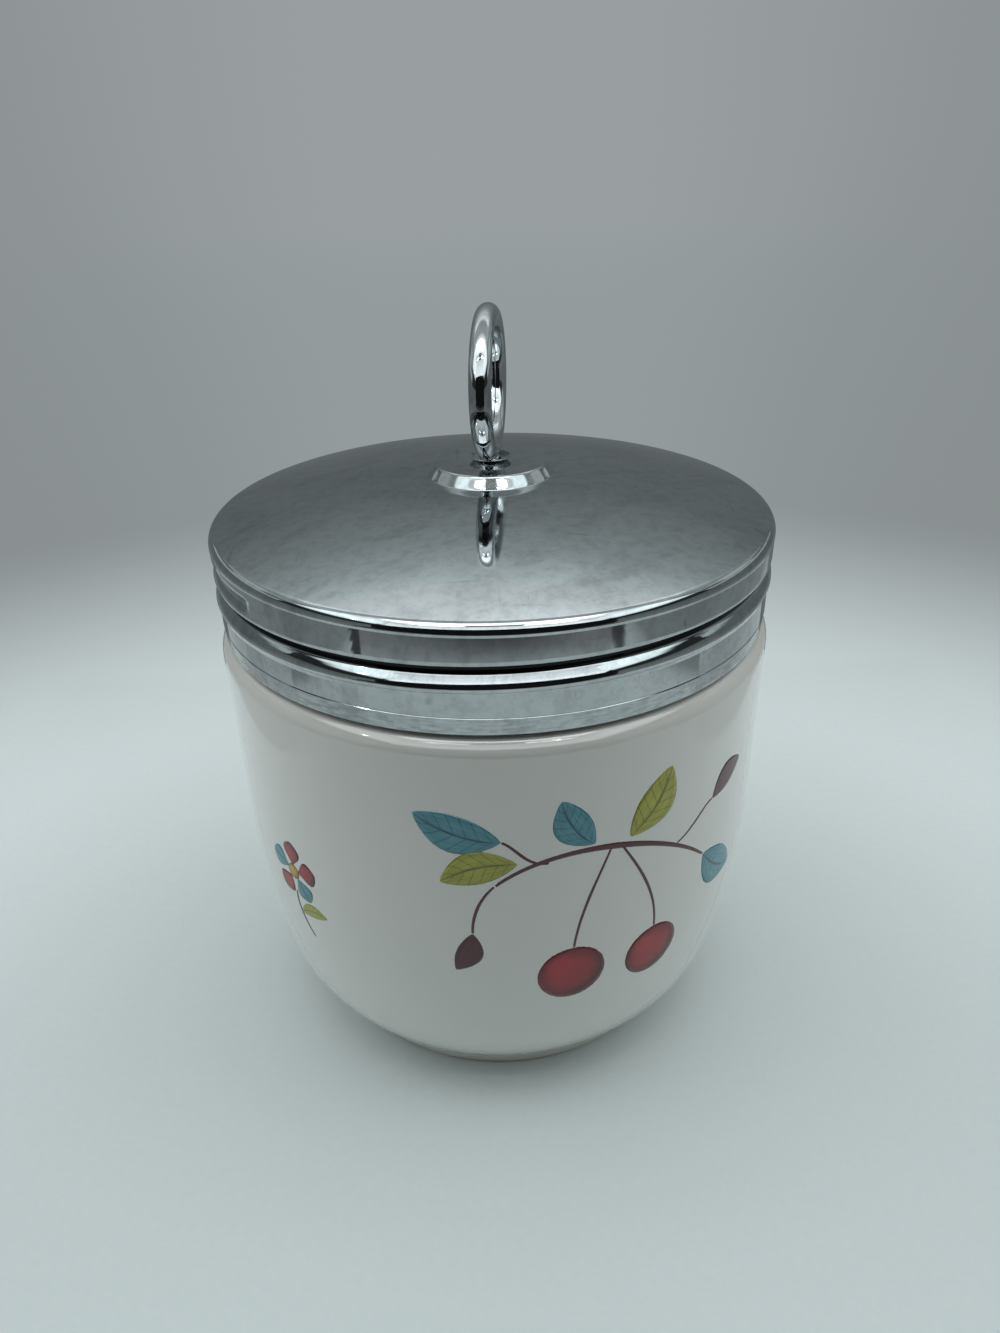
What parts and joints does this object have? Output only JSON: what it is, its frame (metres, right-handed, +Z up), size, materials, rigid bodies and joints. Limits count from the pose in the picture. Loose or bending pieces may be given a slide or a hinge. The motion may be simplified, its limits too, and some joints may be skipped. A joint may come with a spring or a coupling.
{
  "type": "porcelain egg coddler",
  "caption": "Porcelain egg coddler: a threaded pot with a rounded heel and foot ring, and a domed metal screw lid that carries a lifting ring.",
  "frame": {"origin": "centre of the foot ring's lower face, where the pot stands", "axes": "+Z up along the axis of the pot and the screw thread, -Y towards the front of the decoration"},
  "size_m": [0.081, 0.081, 0.1091],
  "materials": {
    "porcelain": "clear glossy glaze over white porcelain, bare under the foot ring, with fired-on enamel decoration",
    "lid_chrome": "polished plate with fine scratches and a faint haze",
    "collar_chrome": "polished plate",
    "ring_chrome": "mirror-polished plate",
    "washer_metal": "plain rolled metal"
  },
  "bodies": {
    "pot": {"pot": "porcelain"},
    "lid_carrier": {"backing_washer": "washer_metal"},
    "lid": {"lid_cap": "lid_chrome", "ring_collar": "collar_chrome", "lifting_ring": "ring_chrome"}
  },
  "joints": [
    {"name": "lid_lift", "type": "slide", "parent": "pot", "child": "lid_carrier", "axis": [0, 0, 1], "range_m": [0, 0.015]},
    {"name": "lid_turn", "type": "hinge", "parent": "lid_carrier", "child": "lid", "pos_m": [0, 0, 0.081], "axis": [0, 0, 1], "range_deg": [0, 1800]}
  ],
  "couplings": [
    {"joint": "lid_lift", "follows": "lid_turn", "m_per_rad": 0.00047746}
  ]
}
